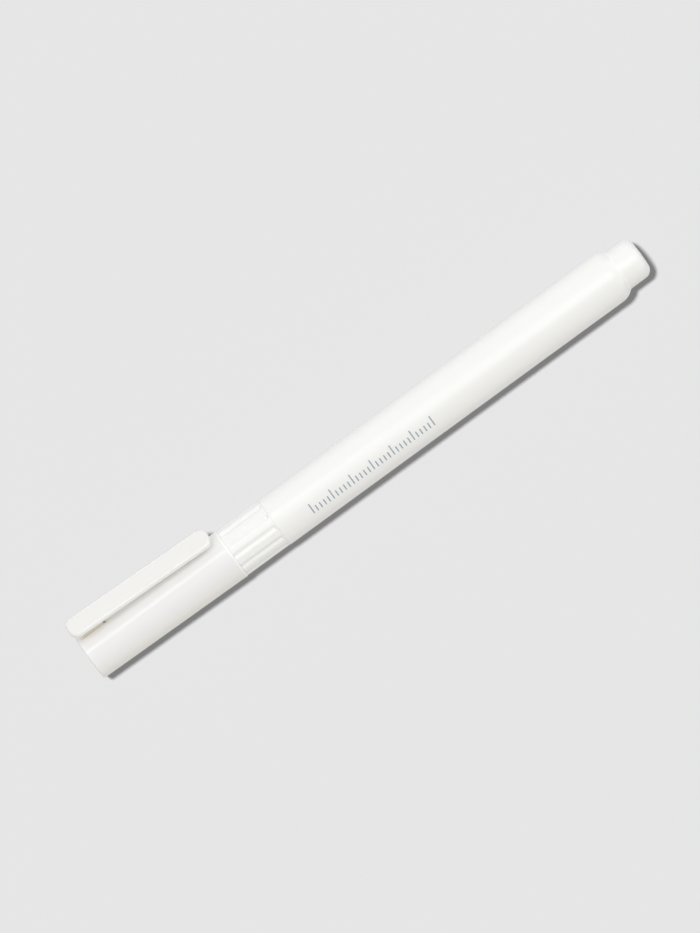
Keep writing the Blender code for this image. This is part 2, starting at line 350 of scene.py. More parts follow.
class GeometryGraph(Graph):
    """A Geometry Nodes tree with named inputs."""

    def __init__(self, name: str) -> None:
        """Start a tree that takes a geometry and gives one.

        Args:
            name: The tree's name.
        """
        super().__init__(bpy.data.node_groups.new(name, "GeometryNodeTree"))
        for way in ("INPUT", "OUTPUT"):
            self.tree.interface.new_socket("Geometry", in_out=way, socket_type="NodeSocketGeometry")
        self.given = self.node("NodeGroupInput")

    def asks(self, name: str, kind: str = "NodeSocketFloat") -> Wire:
        """Declare a named input.

        Args:
            name: The input's name.
            kind: Its socket type.

        Returns:
            The input's value.
        """
        self.tree.interface.new_socket(name, in_out="INPUT", socket_type=kind)
        return Wire(self, self.given.outputs[name])

    def end(self, shape: Wire) -> None:
        """Make the shape real, give it the material that the tree asks for, and put it out.

        Args:
            shape: What the tree has made.
        """
        real = self.wire("GeometryNodeRealizeInstances", inputs={0: shape})
        inputs = {"Geometry": real, "Material": self.asks("Material", "NodeSocketMaterial")}
        self.node("NodeGroupOutput", inputs={0: self.wire("GeometryNodeSetMaterial", inputs=inputs)})

    def apply(self, made: bpy.types.Object, values: Mapping[str, Any]) -> None:
        """Run the tree on an object and keep the result as its plain mesh.

        Args:
            made: The object.
            values: The tree's inputs by name.
        """
        modifier = made.modifiers.new(self.tree.name, "NODES")
        modifier.node_group = self.tree
        for item in self.tree.interface.items_tree:
            if item.in_out == "INPUT" and item.name in values:
                modifier[item.identifier] = values[item.name]
        settle_modifiers(made)


def link(name: str, data: bpy.types.ID) -> bpy.types.Object:
    """Put a new object at the scene's origin.

    Args:
        name: The object's name.
        data: Its mesh, lamp or camera.

    Returns:
        The new object.
    """
    made = bpy.data.objects.new(name, data)
    bpy.context.scene.collection.objects.link(made)
    return made


def settle_modifiers(made: bpy.types.Object) -> None:
    """Turn an object and its modifiers into a plain mesh.

    Args:
        made: The object.
    """
    graph = bpy.context.evaluated_depsgraph_get()
    mesh = bpy.data.meshes.new_from_object(made.evaluated_get(graph), depsgraph=graph)
    made.modifiers.clear()
    old, made.data = made.data, mesh
    bpy.data.meshes.remove(old)
    mesh.name = made.name


def mesh_object(name: str, bm: bmesh.types.BMesh) -> bpy.types.Object:
    """Turn a closed bmesh in millimetres into a smooth object in metres.

    Args:
        name: The object's name.
        bm: The shape, which is used up.

    Returns:
        The new object, with its faces pointing out.
    """
    bmesh.ops.scale(bm, vec=(MM, MM, MM), verts=bm.verts)
    bmesh.ops.recalc_face_normals(bm, faces=bm.faces)
    mesh = bpy.data.meshes.new(name)
    bm.to_mesh(mesh)
    bm.free()
    mesh.shade_smooth()
    mesh.set_sharp_from_angle(angle=SMOOTH_ANGLE)
    return link(name, mesh)


def combine(target: bpy.types.Object, tool: bpy.types.Object, cut: Cut) -> None:
    """Join a tool to a target or cut it out, and remove the tool.

    Args:
        target: The object that changes.
        tool: The other solid.
        cut: What is done with it.
    """
    boolean = target.modifiers.new(tool.name, "BOOLEAN")
    boolean.operation = cut.value
    boolean.object = tool
    boolean.solver = "EXACT"
    settle_modifiers(target)
    target.data.set_sharp_from_angle(angle=SMOOTH_ANGLE)
    bpy.data.objects.remove(tool)


def around(x: float, radius: float, angle: float) -> Vector:
    """A point at a distance along the pen, a radius and an angle round it."""
    return Vector((x, -radius * math.sin(angle), radius * math.cos(angle)))


def steps(start: float, end: float, count: int) -> list[float]:
    """Evenly spaced values from start to end, in that many steps."""
    return [start + (end - start) * index / count for index in range(count + 1)]


def rounded(corners: Sequence[Corner]) -> list[Point]:
    """Turn the corners of a closed outline into points, with arcs at the round ones.

    Args:
        corners: The (x, radius, rounding) corners in order.

    Returns:
        The outline's (x, radius) points. A point close to each end of an arc keeps the walls straight
        in shading.
    """
    points: list[Point] = []
    for index, (x, radius, rounding) in enumerate(corners):
        here = Vector((x, radius))
        if not rounding:
            points.append((x, radius))
            continue
        back = Vector(corners[index - 1][:2]) - here
        ahead = Vector(corners[(index + 1) % len(corners)][:2]) - here
        half = back.angle(ahead) / 2.0
        reach = rounding / math.tan(half)
        back.normalize()
        ahead.normalize()
        centre = here + (back + ahead).normalized() * rounding / math.sin(half)
        first = (here + back * reach - centre).normalized()
        last = (here + ahead * reach - centre).normalized()
        points.append(tuple(here + back * (reach + SUPPORT)))
        for share in steps(0.0, 1.0, ROUND_STEPS):
            points.append(tuple(centre + first.slerp(last, share) * rounding))
        points.append(tuple(here + ahead * (reach + SUPPORT)))
    return points


def band(bm: bmesh.types.BMesh, ring: Ring, following: Ring) -> None:
    """Fill the band between two closed rings with faces.

    Args:
        bm: The mesh of both rings.
        ring: The first ring.
        following: The next ring, of as many points. A ring on the axis is the same point over and over.
    """
    for index in range(len(ring)):
        quad = (ring[index - 1], ring[index], following[index], following[index - 1])
        corners = list(dict.fromkeys(quad))
        if len(corners) > 2:
            bm.faces.new(corners)


def lathe(name: str, outline: Sequence[Point], angles: Sequence[float]) -> bpy.types.Object:
    """Turn a closed outline about the pen's axis.

    Args:
        name: The object's name.
        outline: The (x, radius) points in order. A point on the axis has a radius of 0.
        angles: Where the facets' edges are.

    Returns:
        The closed solid.
    """
    bm = bmesh.new()
    rings = []
    for x, radius in outline:
        if radius:
            rings.append([bm.verts.new(around(x, radius, angle)) for angle in angles])
        else:
            rings.append([bm.verts.new((x, 0.0, 0.0))] * len(angles))
    for ring, following in zip(rings, rings[1:] + rings[:1]):
        band(bm, ring, following)
    return mesh_object(name, bm)


def bend_off(x: float, radius: float, length: float, drop: float, count: int) -> list[Corner]:
    """Points of an arc that leaves a straight wall and bends to a smaller or larger radius.

    Args:
        x: Where the arc leaves the wall.
        radius: The wall's radius.
        length: How far the arc goes along the pen, below 0 towards the cap.
        drop: How far its radius falls, below 0 where length is and it rises.
        count: The number of its steps.

    Returns:
        The plain corners from the wall on.
    """
    bend = (length**2 + drop**2) / (2.0 * drop)
    sweep = steps(0.0, math.asin(length / bend), count)
    return [(x + bend * math.sin(turn), radius - bend * (1.0 - math.cos(turn)), 0.0) for turn in sweep]


def grey(tone: float) -> tuple[float, float, float, float]:
    """An opaque grey of that tone."""
    return (tone, tone, tone, 1.0)


@dataclass(frozen=True)
class Finish:
    """A surface finish: two colours mixed by a pattern, and a grain in the surface."""

    name: str
    colour: Colour
    second_colour: Colour
    roughness: float
    grain: Grain
    roughness_spread: float = 0.15
    metallic: float = 0.0
    alpha: float = 1.0

    def share(self, graph: ShaderGraph, grain: Wire) -> Wire:
        """The second colour's share: the grain, unless a finish has a pattern of its own."""
        return grain

    def wear(self, graph: ShaderGraph, grain: Wire) -> Wire:
        """What the roughness follows: the grain, unless a finish has a pattern of its own."""
        return grain

    def tone(self, graph: ShaderGraph, grain: Wire) -> Wire:
        """The colour over the surface."""
        return graph.tint(self.share(graph, grain), self.colour, self.second_colour)

    def material(self) -> bpy.types.Material:
        """Make the finish's material.

        Returns:
            The material.
        """
        graph = ShaderGraph(self.name)
        grain = graph.noise(self.grain.size, self.grain.stretch)
        worn = self.wear(graph, grain) - NOISE_MIDDLE
        graph.feed(
            Base_Color=self.tone(graph, grain),
            Roughness=self.roughness + worn * self.roughness_spread,
            Metallic=self.metallic,
            Alpha=self.alpha,
            Normal=graph.bump(grain, self.grain.depth),
        )
        return graph.material


@dataclass(frozen=True)
class MouldedPlastic(Finish):
    """Opaque moulded plastic with slow changes of tone, as the melt flowed, and long wiped streaks."""

    roughness_spread: float = 0.05
    flow_size: float = 18.0
    wipe_size: float = 3.0
    wipe_stretch: float = 6.0

    def share(self, graph: ShaderGraph, grain: Wire) -> Wire:
        """The second colour's share, which changes slowly."""
        return graph.noise(self.flow_size)

    def wear(self, graph: ShaderGraph, grain: Wire) -> Wire:
        """What the roughness follows: streaks along the pen."""
        return graph.noise(self.wipe_size, (self.wipe_stretch, 1.0, 1.0))


@dataclass(frozen=True)
class RecessShadedPlastic(MouldedPlastic):
    """Moulded plastic with painted shade: a warm, deep tone painted low in a recess, where the clip's plate
    shades it.
    """

    painted_shade_colour: Colour = (0.76, 0.71, 0.58)
    painted_shade_radius: float = 5.6
    painted_shade_top: float = 7.2
    painted_shade_middle: float = 4.65
    painted_shade_half: float = 2.75
    painted_shade_fade: float = 1.2

    def tone(self, graph: ShaderGraph, grain: Wire) -> Wire:
        """The plastic's colour, with painted shade in the recess near the pen's axis and round its middle
        along the pen.

        Args:
            graph: The material's graph.
            grain: Its grain.

        Returns:
            The colour.
        """
        x, y, z = graph.parts(graph.place)
        radius = graph.maths("SQRT", y * y + z * z)
        low = graph.fade(radius, self.painted_shade_radius * MM, self.painted_shade_top * MM)
        off_middle = graph.maths("ABSOLUTE", x - self.painted_shade_middle * MM)
        near = graph.fade(off_middle, self.painted_shade_half * MM, (self.painted_shade_half + self.painted_shade_fade) * MM)
        # Painted shade: the warm, deep tone is mixed in low in the recess under the plate.
        return graph.tint(low * near, super().tone(graph, grain), self.painted_shade_colour)


@dataclass(frozen=True)
class RimmedPlastic(MouldedPlastic):
    """Moulded plastic with a painted highlight on its lip and painted warm shade on its -Y side."""

    rim_highlight_colour: Colour = (0.94, 0.936, 0.924)
    rim_start: float = 35.25
    rim_fade: float = 0.08
    side_shade_colour: Colour = (0.868, 0.852, 0.808)
    shaded_side: float = -4.6
    shaded_side_fade: float = 2.2

    def tone(self, graph: ShaderGraph, grain: Wire) -> Wire:
        """The plastic's colour, with painted warm shade on the -Y side and a painted highlight on the rim
        from its start to the lip's end.

        Args:
            graph: The material's graph.
            grain: Its grain.

        Returns:
            The colour.
        """
        x, y, _ = graph.parts(graph.place)
        # Painted shade: the -Y side, away from the main lamps, is tinted warmer and darker.
        side_shade = graph.fade(y, self.shaded_side * MM, (self.shaded_side + self.shaded_side_fade) * MM)
        body = graph.fade(x, (self.rim_start - self.rim_fade) * MM, (self.rim_start + self.rim_fade) * MM)
        plain = graph.tint(side_shade, super().tone(graph, grain), self.side_shade_colour)
        # Painted highlight: the lip is painted lighter from the rim's start to its end.
        return graph.tint(1.0 - body, plain, self.rim_highlight_colour)


@dataclass(frozen=True)
class DrawnSteel(Finish):
    """Thin steel tube with fine lines round it and a slow cloud over them."""

    roughness_spread: float = 0.14
    metallic: float = 1.0
    cloud_size: float = 1.5
    cloud_share: float = 0.4

    def share(self, graph: ShaderGraph, grain: Wire) -> Wire:
        """The second colour's share: the lines with the cloud."""
        return grain * (1.0 - self.cloud_share) + graph.noise(self.cloud_size) * self.cloud_share


@dataclass(frozen=True)
class InkFibre(Finish):
    """Bundled fibre soaked unevenly with ink, in strands along the pen."""

    roughness_spread: float = 0.2
    soak_size: float = 6.0

    def share(self, graph: ShaderGraph, grain: Wire) -> Wire:
        """The second colour's share: the strands where less ink has soaked in."""
        return grain * graph.noise(self.soak_size)


@dataclass(frozen=True)
class ClearFilm(Finish):
    """Thin creased plastic that lets what is under it show through."""

    roughness_spread: float = 0.12
    alpha: float = 0.45


class GrooveTree(GeometryGraph):
    """Presses evenly spaced, softly rounded grooves into the outer wall of a turned mesh."""

    def __init__(self) -> None:
        """Write the rule: each point of the outer wall moves in by the groove's depth there."""
        super().__init__("lengthwise_grooves")
        names = ("Count", "First Angle", "Half Width", "Depth", "Run Out", "End", "Inner Radius")
        count, first, half_width, depth, run_out, end, inner_radius = map(self.asks, names)
        pitch = TURN / count
        x, y, z = self.parts(self.wire("GeometryNodeInputPosition"))
        radius = self.maths("SQRT", y * y + z * z)
        angle = self.maths("ARCTAN2", -y, z)
        off_centre = self.maths("WRAP", angle - first, pitch / 2.0, pitch / -2.0)
        across = self.maths("ABSOLUTE", off_centre) * radius
        in_groove = self.fade(across, 0.0, half_width)
        in_reach = self.fade(x, end - run_out, end)
        on_wall = self.maths("GREATER_THAN", radius, inner_radius)
        inward = depth * in_groove * in_reach * on_wall / self.maths("MAXIMUM", radius, inner_radius)
        offset = self.vector(0.0, -y * inward, -z * inward)
        given = Wire(self, self.given.outputs["Geometry"])
        self.end(self.wire("GeometryNodeSetPosition", inputs={"Geometry": given, "Offset": offset}))


class ScaleTree(GeometryGraph):
    """Lays a row of ticks along the pen and wraps it on a tapered barrel."""

    CROSS_POINTS: ClassVar[int] = 7
    FOOT_ON_LINE: ClassVar[Corner] = (0.0, 0.5, 0.0)
    SAME_NUMBER: ClassVar[float] = 0.5
    EDGE_POINTS: ClassVar[int] = 2
    LENGTHS: ClassVar[tuple[str, ...]] = (
        "Pitch", "Start", "Line Width", "Thickness", "Short", "Long", "Radius"
    )

    def __init__(self) -> None:
        """Write the rule: ticks start on one line, and every few of them one is longer."""
        super().__init__("printed_scale")
        count = self.asks("Count", "NodeSocketInt")
        every, angle, taper = map(self.asks, ("Long Every", "Angle", "Taper"))
        pitch, start, line, thickness, short, long, radius = map(self.asks, self.LENGTHS)
        tick = self.wire(
            "GeometryNodeMeshCube",
            inputs={
                "Size": self.vector(line, 1.0, thickness),
                "Vertices X": self.EDGE_POINTS,
                "Vertices Y": self.CROSS_POINTS,
                "Vertices Z": self.EDGE_POINTS,
            },
        )
        on_line = self.wire(
            "GeometryNodeTransform", inputs={"Geometry": tick, "Translation": self.FOOT_ON_LINE}
        )
        row = self.wire(
            "GeometryNodeMeshLine",
            inputs={
                "Count": count,
                "Start Location": self.vector(start, 0.0, 0.0),
                "Offset": self.vector(pitch, 0.0, 0.0),
            },
        )
        index = self.wire("GeometryNodeInputIndex")
        in_group = self.maths("FLOORED_MODULO", index, every)
        is_long = self.maths("COMPARE", in_group, 0.0, self.SAME_NUMBER)
        length = short + (long - short) * is_long
        ticks = self.wire(
            "GeometryNodeInstanceOnPoints",
            inputs={"Points": row, "Instance": on_line, "Scale": self.vector(1.0, length, 1.0)},
        )
        flat = self.wire("GeometryNodeRealizeInstances", inputs={0: ticks})
        x, y, z = self.parts(self.wire("GeometryNodeInputPosition"))
        reach = radius + (x - start) * taper + z
        turn = angle - y / radius
        place = self.vector(x, -reach * self.maths("SINE", turn), reach * self.maths("COSINE", turn))
        self.end(self.wire("GeometryNodeSetPosition", inputs={"Geometry": flat, "Position": place}))


class Piece(ABC):
    """A piece of the pen that stands for nodes of the frame."""

    name: ClassVar[str]
    nodes: ClassVar[tuple[str, ...]] = ()
    body: ClassVar[Body] = Body.BARREL
    slot: ClassVar[str]
    finish: ClassVar[Finish]

    @abstractmethod
    def build(self) -> bpy.types.Object:
        """Build the piece's mesh."""

    def dress(self, made: bpy.types.Object) -> None:
        """Give the piece its finish."""
        made.data.materials.clear()
        made.data.materials.append(self.finish.material())

    def carry(self, made: bpy.types.Object) -> None:
        """Let the piece ride on its body."""
        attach(made, self.body.value)

    def make(self) -> bpy.types.Object:
        """Build the piece, dress it and put it in the frame.

        Returns:
            The finished object.
        """
        made = self.build()
        self.dress(made)
        self.carry(made)
        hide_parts(*self.nodes)
        return made


class TurnedPiece(Piece):
    """A piece that is turned about the pen's axis."""

    facets: ClassVar[int] = FULL_CIRCLE

    @abstractmethod
    def corners(self) -> list[Corner]:
        """The (x, radius, rounding) corners of the piece's outline."""

    def angles(self) -> list[float]:
        """Where the facets' edges are round the piece."""
        return [TURN * index / self.facets for index in range(self.facets)]

    def build(self) -> bpy.types.Object:
        """Build the piece's mesh."""
        return lathe(self.name, rounded(self.corners()), self.angles())

    def reach(self) -> tuple[float, float]:
        """Lowest and highest x of the node that the piece stands for, in millimetres."""
        low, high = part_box(self.nodes[0])
        return low.x / MM, high.x / MM


@dataclass
class Clip(Piece):
    """Springy clip: a rounded plate on a thin web set in the cap, with a rib and a bead under it."""

    name = "clip"
    nodes = ("clip_foot", "clip_arm")
    slot = "clip_white"
    # The clip's finish paints warm shade on the web and rib under the plate.
    finish = RecessShadedPlastic("clip_plastic", (0.87, 0.865, 0.845), (0.86, 0.852, 0.83), 0.4, Grain.SATIN)

    side_angle: float = math.radians(52.0)
    slope: float = math.radians(1.9)
    rear: float = -0.12
    tip: float = 34.1
    width: float = 6.04
    thickness: float = 1.05
    corner: float = 1.9
    tip_length: float = 1.6
    outer_rounding: float = 0.45
    inner_rounding: float = 0.2
    bend_x: float = 8.0
    bend_radius: float = 8.215
    bend_before: float = 0.7
    bend_after: float = 3.0
    web_rear: float = 0.9
    web_front: float = 6.65
    web_width: float = 0.64
    web_seat_radius: float = 4.6
    web_rounding: float = 0.25
    rib_gap: float = 0.3
    rib_length: float = 1.0
    rib_radius: float = 5.15
    rib_growth: float = 0.25
    bead_x: float = 31.0
    bead_size: tuple[float, float, float] = (1.6, 1.3, 0.95)
    bead_drop: float = 0.25
    bead_segments: int = 48
    bead_rings: int = 24
    slot_gap: float = 0.03
    hole_radius: float = 4.2
    hole_growth: float = 0.6
    station: float = 0.6
    corner_steps: int = 14

    def side_frame(self) -> Matrix:
        """The frame on the clip's side of the pen, with Z pointing out."""
        return Matrix.Rotation(-self.side_angle, 4, "X")

    def bend_frame(self) -> Matrix:
        """The frame of the plate, at its bend, with Z pointing out."""
        lift = Matrix.Translation((self.bend_x, 0.0, self.bend_radius))
        return self.side_frame() @ lift @ Matrix.Rotation(self.slope, 4, "Y")

    def half_outline(self, inset: float) -> list[Point]:
        """One long side of the plate's outline, from its rear end to its tip.

        Args:
            inset: Distance inside the plate's own outline.

        Returns:
            The (x, y) points in the bend's frame.
        """
        low, high = self.rear - self.bend_x + self.corner, self.tip - self.bend_x - self.tip_length
        half = self.width / 2.0 - inset
        radius, reach = self.corner - inset, self.tip_length - inset
        points = []
        for turn in steps(math.pi, QUARTER_TURN, self.corner_steps):
            points.append((low + radius * math.cos(turn), half - radius * (1.0 - math.sin(turn))))
        count = round((high - low) / self.station)
        for x in steps(low, high, count)[1:-1]:
            points.append((x, half))
        for turn in steps(QUARTER_TURN, 0.0, self.corner_steps)[:-1]:
            points.append((high + reach * math.cos(turn), half * math.sin(turn)))
        return points

    def edge(self) -> list[Point]:
        """Profile of the plate's round edge.

        Returns:
            Its (inset, height) points from the inner face to the outer face.
        """
        half = self.thickness / 2.0
        inner, outer = self.inner_rounding, self.outer_rounding
        profile = [(inner + SUPPORT, -half)]
        for turn in steps(0.0, QUARTER_TURN, ROUND_STEPS):
            profile.append((inner * (1.0 - math.sin(turn)), -half + inner * (1.0 - math.cos(turn))))
        for turn in steps(0.0, QUARTER_TURN, ROUND_STEPS):
            profile.append((outer * (1.0 - math.cos(turn)), half - outer * (1.0 - math.sin(turn))))
        profile.append((outer + SUPPORT, half))
        return profile

    def plate(self) -> bpy.types.Object:
        """Build the plate from rings round its edge and strips across its faces.

        Returns:
            The plate.
        """
        bm = bmesh.new()
        rings = []
        for inset, height in self.edge():
            half = self.half_outline(inset)
            left = [bm.verts.new((x, y, height)) for x, y in half]
            right = [bm.verts.new((x, -y, height)) for x, y in half]
            rings.append((left, right))
        for (left, right), (next_left, next_right) in zip(rings, rings[1:]):
            band(bm, left + right[::-1], next_left + next_right[::-1])
        for left, right in (rings[0], rings[-1]):
            for index in range(1, len(left)):
                bm.faces.new((left[index - 1], left[index], right[index], right[index - 1]))
        bmesh.ops.transform(bm, matrix=self.bend_frame(), verts=bm.verts)
        return mesh_object(self.name, bm)

    def upright(
        self, name: str, grow: float, rear: float, front: float, foot: float, aside: float = 0.0
    ) -> bpy.types.Object:
        """Build an upright block with round corners that ends inside the plate, as the web does.

        Args:
            name: The object's name.
            grow: How far its sides stand out from the web's.
            rear: Its rear end.
            front: Its front end.
            foot: The radius of its foot.
            aside: How far its middle lies from the web's, away from the pen's top.

        Returns:
            The block.
        """
        rounding = min(self.web_rounding + grow, (front - rear) / 2.0)
        side = self.web_width / 2.0 + grow - rounding
        ahead, behind = front - rounding, rear + rounding
        centres = ((ahead, side), (behind, side), (behind, -side), (ahead, -side))
        outline = []
        for quarter, (x, y) in enumerate(centres):
            for turn in steps(quarter * QUARTER_TURN, (quarter + 1) * QUARTER_TURN, ROUND_STEPS):
                outline.append((x + rounding * math.cos(turn), aside + y + rounding * math.sin(turn)))
        bm = bmesh.new()
        lower = [bm.verts.new((x, y, foot)) for x, y in outline]
        upper = [bm.verts.new((x, y, self.bend_radius)) for x, y in outline]
        bm.faces.new(lower)
        bm.faces.new(upper)
        band(bm, lower, upper)
        bmesh.ops.transform(bm, matrix=self.side_frame(), verts=bm.verts)
        return mesh_object(name, bm)

    def web(self) -> bpy.types.Object:
        """Build the web that carries the plate."""
        return self.upright("clip_web", 0.0, self.web_rear, self.web_front, self.web_seat_radius)

    def rib(self) -> bpy.types.Object:
        """Build the short rib in front of the web, just clear of the cap."""
        rear = self.web_front + self.rib_gap
        return self.upright("clip_rib", self.rib_growth, rear, rear + self.rib_length, self.rib_radius)

    def slot_tool(self) -> bpy.types.Object:
        """Build the tool that cuts the web's slot in the cap."""
        rear, front = self.web_rear - self.slot_gap, self.web_front + self.slot_gap
        return self.upright("clip_slot", self.slot_gap, rear, front, self.web_seat_radius - self.slot_gap)

    def hole_tool(self) -> bpy.types.Object:
        """Build the tool that cuts the hole in front of the web, which reaches away under the plate."""
        rear, front = self.web_front - self.web_rounding, self.web_front + self.rib_gap
        return self.upright("clip_hole", self.hole_growth, rear, front, self.hole_radius, self.hole_growth)

    def bead(self) -> bpy.types.Object:
        """Build the bead that holds a pocket's edge.

        Returns:
            The bead.
        """
        bm = bmesh.new()
        counts = {"u_segments": self.bead_segments, "v_segments": self.bead_rings}
        bmesh.ops.create_uvsphere(bm, **counts, radius=1.0)
        bmesh.ops.scale(bm, vec=self.bead_size, verts=bm.verts)
        drop = -self.thickness / 2.0 - self.bead_drop
        place = self.bend_frame() @ Matrix.Translation((self.bead_x - self.bend_x, 0.0, drop))
        bmesh.ops.transform(bm, matrix=place, verts=bm.verts)
        return mesh_object("clip_bead", bm)

    def build(self) -> bpy.types.Object:
        """Build the clip as one moulding.

        Returns:
            The clip.
        """
        made = self.plate()
        for part in (self.web(), self.rib(), self.bead()):
            combine(made, part, Cut.JOIN)
        return made

    def carry(self, made: bpy.types.Object) -> None:
        """Keep the clip where it was built, with its place applied to its mesh.

        Args:
            made: The clip.
        """
        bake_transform(made)


@dataclass
class CapShell(TurnedPiece):
    """Outer cap: a closed end, a fine lip, a stepped bore, and a slot and a hole for the clip's web."""

    name = "cap"
    nodes = ("cap_shell",)
    body = Body.CAP
    slot = "cap_white"
    # The cap's finish paints a highlight on the lip and warm shade on the -Y side.
    finish = RimmedPlastic(
        "cap_plastic", (0.864, 0.861, 0.852), (0.850, 0.846, 0.835), 0.22, Grain.POLISHED
    )

    clip: Clip = field(default_factory=Clip)
    end_radius: float = 5.06
    lip_radius: float = 5.53
    end_rounding: float = 0.3
    lip_growth: float = 0.32
    lip_edge: float = 0.12
    lip_rounding: float = 0.06
    end_wall: float = 1.5
    pocket_radius: float = 4.0
    pocket_front: float = 19.7
    mouth_radius: float = 4.6
    mouth_rear: float = 21.7
    snap_x: float = 31.0
    snap_half_width: float = 1.2
    snap_radius: float = 4.72

    def corners(self) -> list[Corner]:
        """Outline of the cap.

        Returns:
            Its (x, radius, rounding) corners.
        """
        end, lip = self.reach()
        end = max(end, 0.0)
        lip += self.lip_growth
        return [
            (end, 0.0, 0.0),
            (end, self.end_radius, self.end_rounding),
            (lip, self.lip_radius, self.lip_edge),
            (lip, self.mouth_radius, self.lip_rounding),
            (self.snap_x + self.snap_half_width, self.mouth_radius, 0.0),
            (self.snap_x, self.snap_radius, 0.0),
            (self.snap_x - self.snap_half_width, self.mouth_radius, 0.0),
            (self.mouth_rear, self.mouth_radius, self.lip_rounding),
            (self.pocket_front, self.pocket_radius, self.lip_rounding),
            (self.end_wall, self.pocket_radius, self.end_rounding),
            (self.end_wall, 0.0, 0.0),
        ]

    def build(self) -> bpy.types.Object:
        """Build the cap and cut the clip's slot and hole in it.

        Returns:
            The cap.
        """
        made = super().build()
        for tool in (self.clip.slot_tool(), self.clip.hole_tool()):
            combine(made, tool, Cut.REMOVE)
        return made


@dataclass
class InnerCap(TurnedPiece):
    """Soft cup inside the cap that seals round the nib."""

    name = "cap_liner"
    nodes = ("inner_cap",)
    body = Body.CAP
    slot = "inner_cap_milky"
    finish = MouldedPlastic("milky_plastic", (0.79, 0.80, 0.79), (0.75, 0.76, 0.76), 0.45, Grain.SOFT)

    radius: float = 3.9
    bore_radius: float = 3.35
    floor: float = 1.0
    rim_rounding: float = 0.2
    end_rounding: float = 0.4

    def corners(self) -> list[Corner]:
        """Outline of the liner.

        Returns:
            Its (x, radius, rounding) corners.
        """
        rear, mouth = self.reach()
        return [
            (rear, 0.0, 0.0),
            (rear, self.radius, self.end_rounding),
            (mouth, self.radius, self.rim_rounding),
            (mouth, self.bore_radius, self.rim_rounding),
            (rear + self.floor, self.bore_radius, self.end_rounding),
            (rear + self.floor, 0.0, 0.0),
        ]


@dataclass
class Barrel(TurnedPiece):
    """Tapered tube with grip grooves at its front and a round shoulder at its rear."""

    name = "pen_barrel"
    nodes = ("barrel",)
    slot = "barrel_white"
    finish = MouldedPlastic("barrel_plastic", BARREL_WHITE, BARREL_FLOW_WHITE, 0.22, Grain.POLISHED)

    front_radius: float = 5.5
    rear_radius: float = 5.67
    rim_radius: float = 4.7
    bore_front_radius: float = 4.05
    bore_rear_radius: float = 4.15
    shoulder_length: float = 2.6
    shoulder_steps: int = 18
    front_set_back: float = 0.19
    edge_rounding: float = 0.02
    grip_recess: float = 0.08
    grip_step: float = 0.25
    grip_stations: int = 10
    grip_margin: float = 1.0
    groove_count: int = 12
    groove_first: float = math.radians(9.0)
    groove_half_width: float = 0.85
    groove_depth: float = 0.3
    groove_end: float = 46.0
    groove_run_out: float = 0.3
    groove_steps: int = 12
    land_steps: int = 4

    def radius_at(self, x: float) -> float:
        """Outer radius of the barrel in front of its shoulder.

        Args:
            x: Distance along the pen.

        Returns:
            The radius there.
        """
        front, rear = self.reach()
        share = (x - front) / (rear - self.shoulder_length - front)
        return self.front_radius + (self.rear_radius - self.front_radius) * share

    def wall(self, x: float, recess: float = 0.0) -> Corner:
        """A plain point of the outer wall, set in by a recess."""
        return (x, self.radius_at(x) - recess, 0.0)

    def corners(self) -> list[Corner]:
        """Outline of the barrel, with points along the grip that its grooves are pressed into.

        Returns:
            Its (x, radius, rounding) corners.
        """
        front, rear = self.reach()
        front += self.front_set_back
        run_out = self.groove_end - self.groove_run_out
        grip = steps(front + self.grip_margin, run_out - SUPPORT, self.grip_stations)
        grip += steps(run_out, self.groove_end, ROUND_STEPS)
        step = self.groove_end + self.grip_step
        length, drop = self.shoulder_length, self.rear_radius - self.rim_radius
        return [
            (front, self.bore_front_radius, self.edge_rounding),
            (front, self.front_radius - self.grip_recess, self.edge_rounding),
            *(self.wall(x, self.grip_recess) for x in grip),
            self.wall(step - SUPPORT, self.grip_recess),
            self.wall(step, self.grip_recess / 2.0),
            self.wall(step + SUPPORT),
            self.wall(step + self.grip_step),
            self.wall(rear - 2.0 * length),
            *bend_off(rear - length, self.rear_radius, length, drop, self.shoulder_steps),
            (rear, self.bore_rear_radius, self.edge_rounding),
        ]

    def angles(self) -> list[float]:
        """Angles of the facets' edges, close together in the grooves.

        Returns:
            The angles round the whole barrel.
        """
        pitch = TURN / self.groove_count
        groove = self.groove_half_width / self.front_radius
        half = steps(0.0, groove, self.groove_steps) + steps(groove, pitch / 2.0, self.land_steps)[1:]
        whole = [-angle for angle in half[:0:-1]][1:] + half
        return [
            self.groove_first + index * pitch + angle
            for index in range(self.groove_count)
            for angle in whole
        ]

    def build(self) -> bpy.types.Object:
        """Build the tube and press its grooves in.

        Returns:
            The barrel.
        """
        made = super().build()
        GrooveTree().apply(
            made,
            {
                "Count": float(self.groove_count),
                "First Angle": self.groove_first,
                "Half Width": self.groove_half_width * MM,
                "Depth": self.groove_depth * MM,
                "Run Out": self.groove_run_out * MM,
                "End": self.groove_end * MM,
                "Inner Radius": (self.front_radius - 2.0 * self.groove_depth) * MM,
            },
        )
        return made


